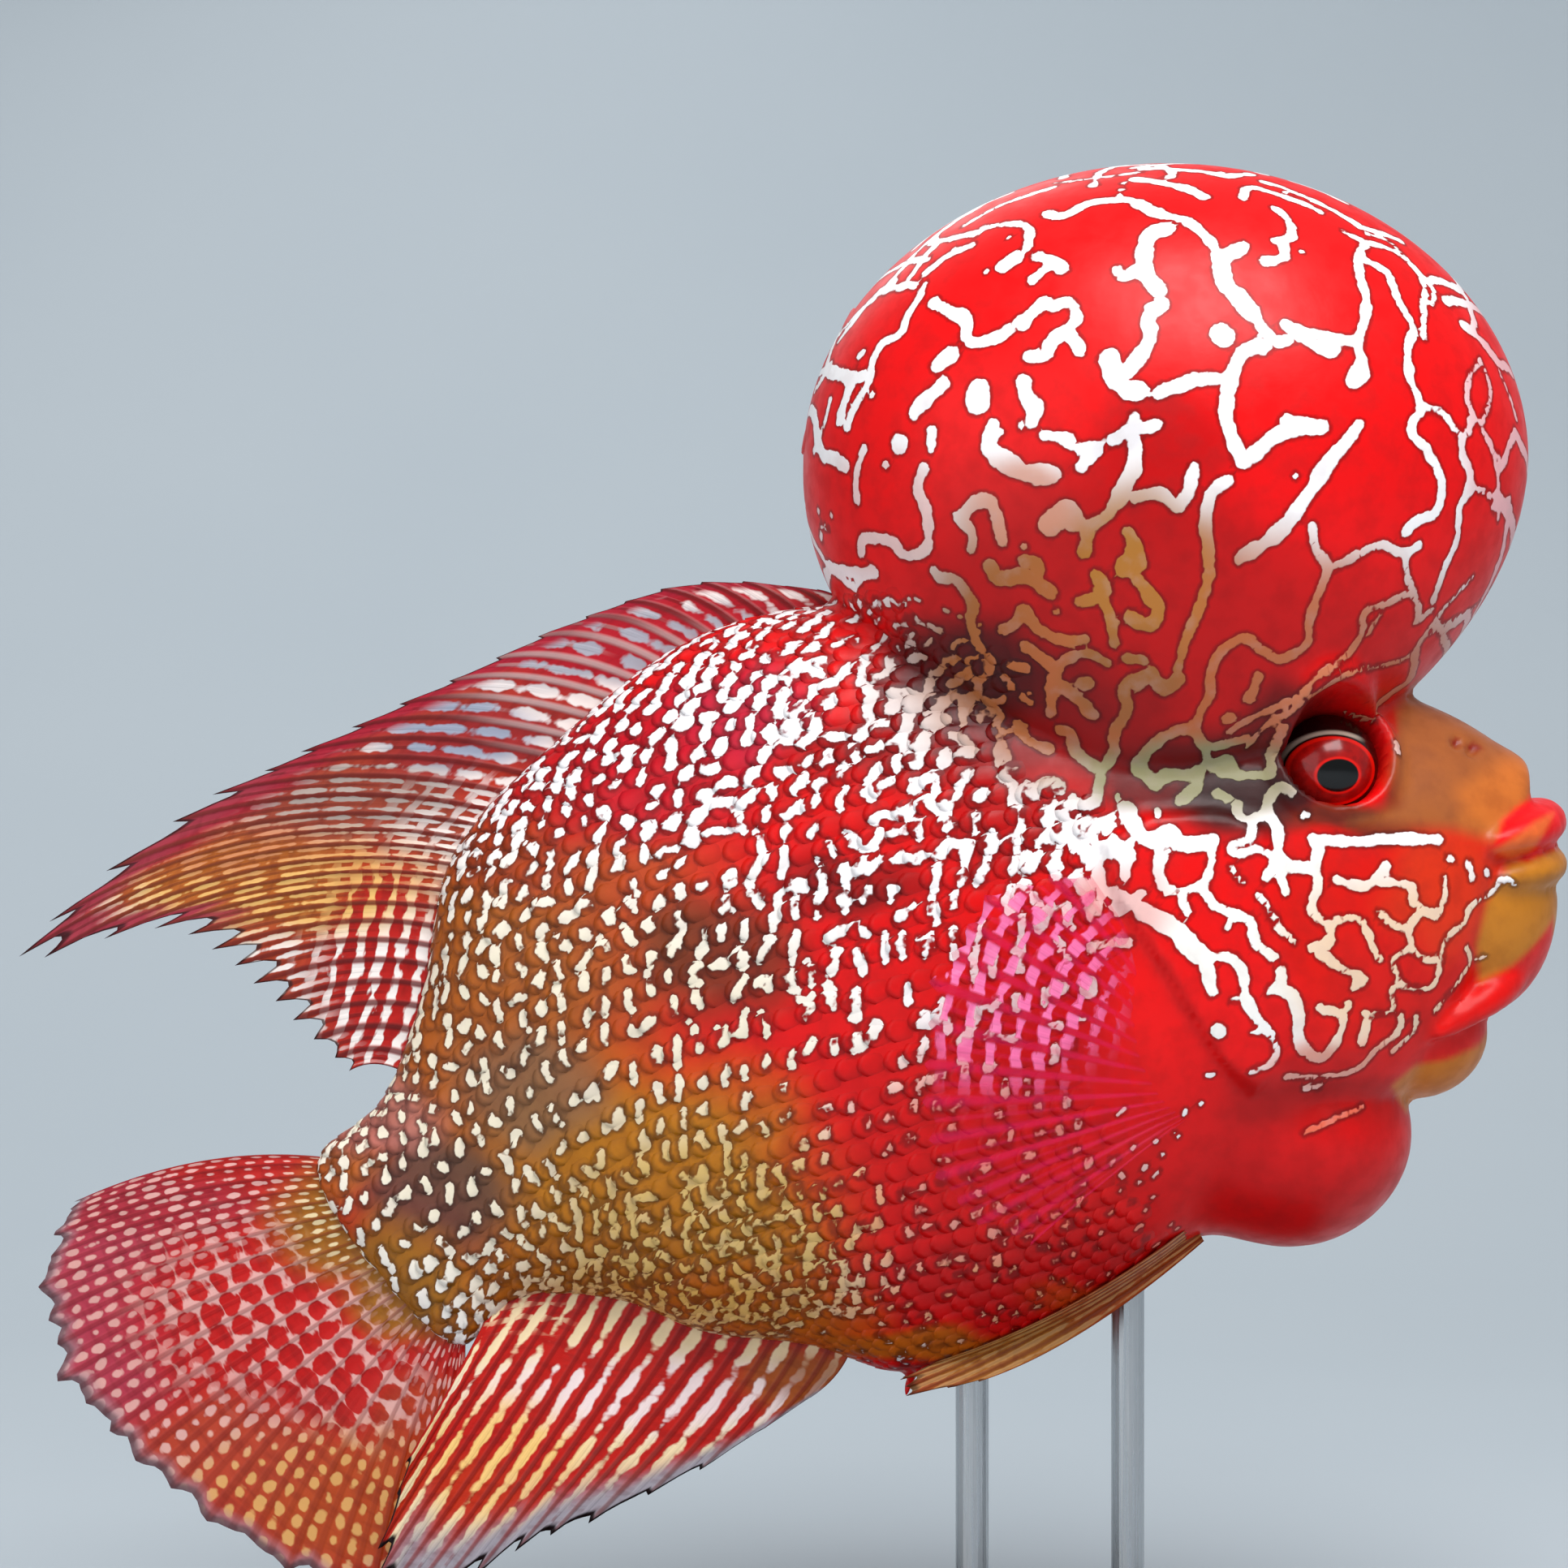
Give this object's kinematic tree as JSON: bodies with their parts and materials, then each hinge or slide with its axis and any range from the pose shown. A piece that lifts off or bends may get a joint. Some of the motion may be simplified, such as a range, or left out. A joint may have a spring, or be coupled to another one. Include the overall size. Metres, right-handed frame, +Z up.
{
  "type": "flowerhorn cichlid on a display stand",
  "caption": "Life-size red flowerhorn cichlid with a big round nuchal hump, spread fins and a pointed dorsal tip, held over a flat base by short rods",
  "frame": {"origin": "middle of the underside of the stand's base", "axes": "+X is the way the snout points, +Y is the fish's left side, +Z is up"},
  "size_m": [0.1607, 0.064, 0.16],
  "materials": {
    "head_skin": "soft glossy red skin with pale markings",
    "hump_skin": "smooth wet-looking red skin with pale branching lines",
    "flank_skin": "scaled red skin turning orange-brown behind, with pale dashes",
    "tail_skin": "scaled orange-brown skin with pale dots",
    "lip": "soft glossy red lip",
    "jaw_skin": "soft glossy orange skin",
    "eye": "clear glossy eye with a red iris and a black pupil",
    "fin": "thin translucent red fin with pale banding",
    "belly_fin": "thin orange fin",
    "stand_base": "satin dark paint",
    "stand_rod": "brushed"
  },
  "bodies": {
    "root": {"head": "head_skin", "nuchal_hump": "hump_skin", "torso": "flank_skin", "tail_stalk": "tail_skin", "throat": "head_skin", "upper_lip": "lip", "lower_jaw": "jaw_skin", "gill_cover_left": "head_skin", "gill_cover_right": "head_skin", "eye_left": "eye", "eye_right": "eye", "pectoral_fin_left": "fin", "pectoral_fin_right": "fin", "pelvic_fin_left": "belly_fin", "pelvic_fin_right": "belly_fin", "dorsal_fin": "fin", "anal_fin": "fin", "caudal_fin": "fin", "stand_base": "stand_base", "stand_rod_front": "stand_rod", "stand_rod_rear": "stand_rod"}
  },
  "joints": []
}
